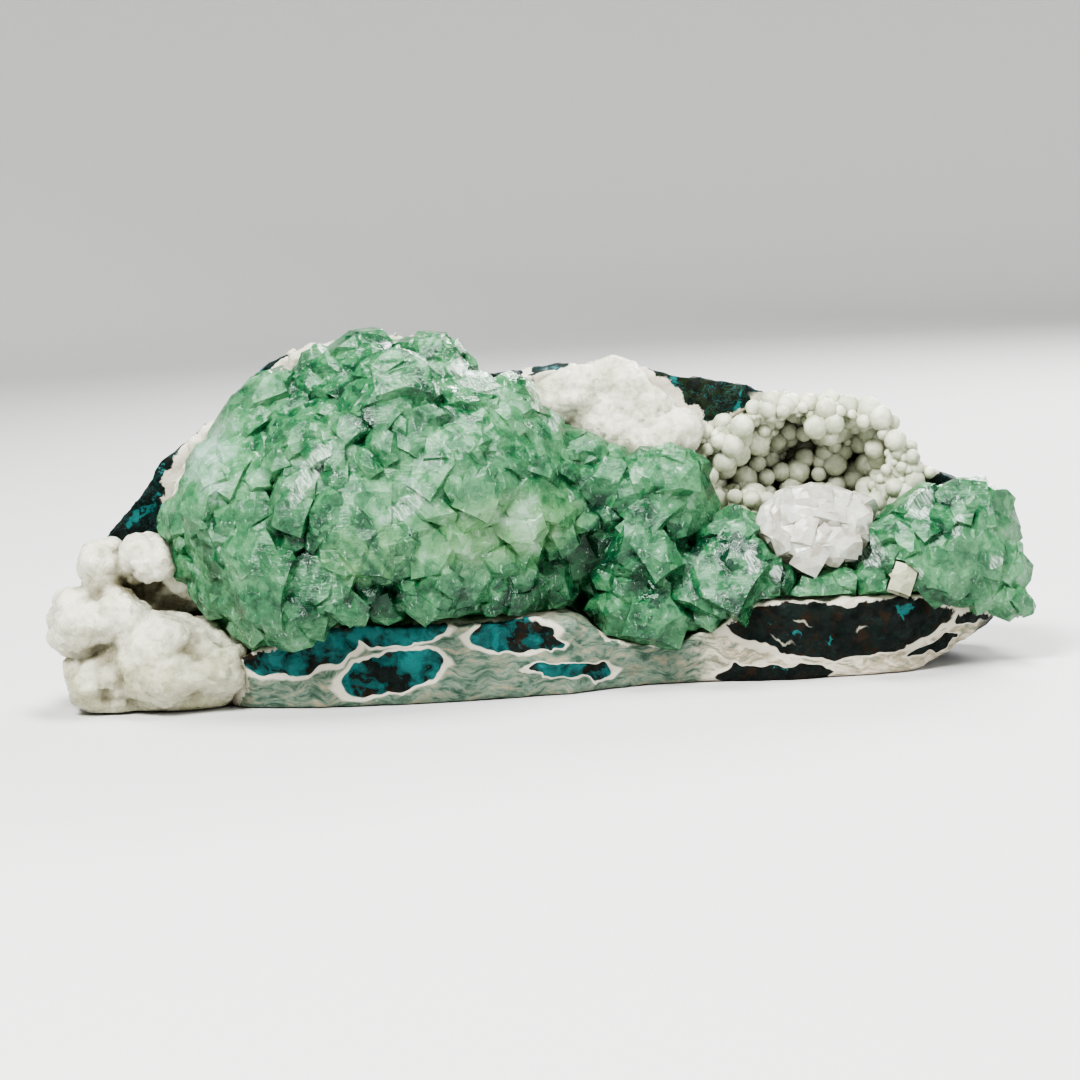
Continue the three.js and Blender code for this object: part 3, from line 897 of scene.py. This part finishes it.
def face_colour(s, place, ragged, stone, x):
    """The broken face below the crystals: lenses of dark stone in a pale streaky ground."""
    patches = s.noise(s.wobbled(place, 3, 2.5), 4.5, 5, 0.62)
    teal = s.over(s.math("ADD", patches, s.over(x, 5, 30, 0.04, -0.14)), 0.50, 0.53)
    rust = s.over(s.noise(s.wobbled(place, 2, 1), 3, 4, 0.7), 0.52, 0.64)
    in_lens = s.mix(s.math("MULTIPLY", rust, 0.8), stone, (0.026, 0.013, 0.005))
    in_lens = s.mix(teal, in_lens, s.mix(s.over(patches, 0.50, 0.62), (0.006, 0.070, 0.068), TEAL))
    in_lens = s.mix(inside(s, ragged, INCLUSIONS, 0.5), in_lens, (0.34, 0.33, 0.27))

    flow = s.vector("MULTIPLY", s.wobbled(place, 5, 2.5), (0.35, 1, 1.6))
    streaks = s.noise(flow, 1.6, 5, 0.68)
    pale = s.ramp(streaks, [(0.38, (0.20, 0.24, 0.19)), (0.47, CREAM), (0.60, WHITE)])
    greenish = s.ramp(streaks, [(0.36, (0.05, 0.10, 0.07)), (0.50, (0.16, 0.22, 0.17)), (0.68, CREAM)])
    pale = s.mix(s.over(s.math("ADD", x, s.math("MULTIPLY", streaks, 8)), 38, 28), pale, greenish)
    lens = nearest_spot(s, s.wobbled(s.wobbled(place, 9, 2.5), 3, 1.2), LENSES)
    face = s.mix(s.over(lens, 1.26, 1.14), pale, WHITE)
    return s.mix(s.over(lens, 1.03, 0.98), face, in_lens)


def rock_shader():
    s = Shader("basalt")
    place = s.position()
    x, y, z = s.split(place)
    ragged = s.wobbled(s.wobbled(s.wobbled(place, 9, 2.5), 3, 1.2), 0.9, 0.5)
    stone = s.mix(s.over(s.noise(place, 2.5, 4, 0.7), 0.35, 0.7), BLACK, (0.007, 0.018, 0.014))
    unevenly = s.math("MULTIPLY", s.noise(place, 4, 4, 0.7), 16)
    wall = wall_colour(s, place, ragged, stone, s.over(s.math("ADD", y, unevenly), 16.5, 14.5))
    face = face_colour(s, place, ragged, stone, x)
    colour = s.mix(s.over(y, -4, -7), wall, face)

    # A thin white rim where the crystals and crusts begin
    uneven = s.math("MULTIPLY", s.math("SUBTRACT", s.noise(place, 2, 4, 0.7), 0.5), 3.0)
    colour = s.mix(s.over(s.math("ADD", s.value("near"), uneven), 1.5, 1.1), colour, WHITE)
    height = total(s, [(s.noise(place, 1.2, 5, 0.7), 1), (s.noise(place, 0.35, 3, 0.7), 0.4)])
    s.surface(
        Base_Color=colour,
        Roughness=s.over(s.noise(place, 2, 3), 0.4, 0.65, 0.4, 0.8),
        Specular_IOR_Level=0.25,
        Normal=s.bump(height, 0.7, 0.6),
    )
    return s.material


def basalt():
    piece = remeshed("basalt_matrix", "basalt_block", ROCK_VOXEL)
    lumpy(piece, ((9, 0.9), (2.6, 0.45)), 2)
    others = tree_of("green_crystals", "white_crust_left", "white_crust_top", "ball_crust")
    attribute(piece.data, "near", distance_to(others, points_of(piece.data)))
    return show(piece, "basalt_block", rock_shader(), True)


# Studio

def add_floor():
    """A pale floor that curves up into a backdrop on every side."""
    rings, around, flat, bend, reach, top = 28, 96, 0.9, 0.4, 1.2, 1.4
    bm = bmesh.new()
    centre = bm.verts.new((0, 0, 0))
    previous = None
    for ring in range(1, rings + 1):
        t = ring / rings
        radius = flat + reach * (t - bend) if t > bend else flat * t / bend
        height = top * max(0.0, (t - bend) / 0.6) ** 2
        row = [
            bm.verts.new((radius * math.cos(a), radius * math.sin(a), height))
            for a in (2 * math.pi * i / around for i in range(around))
        ]
        for i in range(around):
            j = (i + 1) % around
            inner = (centre,) if previous is None else (previous[j], previous[i])
            bm.faces.new((*inner, row[i], row[j]))
        previous = row
    mesh = bpy.data.meshes.new("floor")
    bm.to_mesh(mesh)
    bm.free()
    floor = new_object("floor", mesh)
    s = Shader("pale_paper")
    s.surface(Base_Color=(0.62, 0.62, 0.61), Roughness=0.8)
    mesh.materials.append(s.material)
    mesh.polygons.foreach_set("use_smooth", [True] * len(mesh.polygons))


def add_light(name, place, size, energy, colour=(1, 1, 1)):
    light = bpy.data.lights.new(name, "AREA")
    light.shape = "RECTANGLE"
    light.size, light.size_y = size
    light.energy = energy
    light.color = colour
    lamp = bpy.data.objects.new(name, light)
    lamp.location = place
    lamp.rotation_euler = (Vector((0, 0, 0.03)) - Vector(place)).to_track_quat("-Z", "Y").to_euler()
    bpy.context.scene.collection.objects.link(lamp)


def add_studio():
    add_floor()
    add_light("key", (-0.30, -0.50, 0.70), (0.35, 0.28), 12)
    add_light("fill", (0.60, -0.55, 0.30), (0.25, 0.40), 2.5)
    add_light("top", (0.10, 0.05, 0.80), (0.50, 0.20), 6)
    add_light("rim", (0.30, 0.60, 0.40), (0.40, 0.15), 4)
    world = bpy.data.worlds.new("studio")
    world.use_nodes = True
    world.node_tree.nodes["Background"].inputs["Color"].default_value = (0.9, 0.93, 0.95, 1)
    world.node_tree.nodes["Background"].inputs["Strength"].default_value = 0.18
    bpy.context.scene.world = world
    bpy.context.scene.view_settings.look = "AgX - High Contrast"


def add_camera():
    """The photograph's view: a little from above, with the specimen's right end turned up."""
    elevation, roll, distance, lens = math.radians(7), math.radians(3.14), 600 * MM, 115
    target = vec((1.25, -0.97, 25))
    forward = Vector((0, math.cos(elevation), -math.sin(elevation)))
    level, upright = Vector((1, 0, 0)), Vector((0, math.sin(elevation), math.cos(elevation)))
    up = upright * math.cos(roll) + level * math.sin(roll)
    right = level * math.cos(roll) - upright * math.sin(roll)
    data = bpy.data.cameras.new("photo_view")
    data.lens, data.sensor_width = lens, 36
    camera = bpy.data.objects.new("photo_view", data)
    pose = Matrix((right, up, -forward)).transposed().to_4x4()
    pose.translation = target - forward * distance
    camera.matrix_world = pose
    bpy.context.scene.collection.objects.link(camera)
    bpy.context.scene.camera = camera


add_camera()
add_studio()
green_crystals()
white_crystals()
cream_crystal()
white_crusts()
ball_pocket()
basalt()
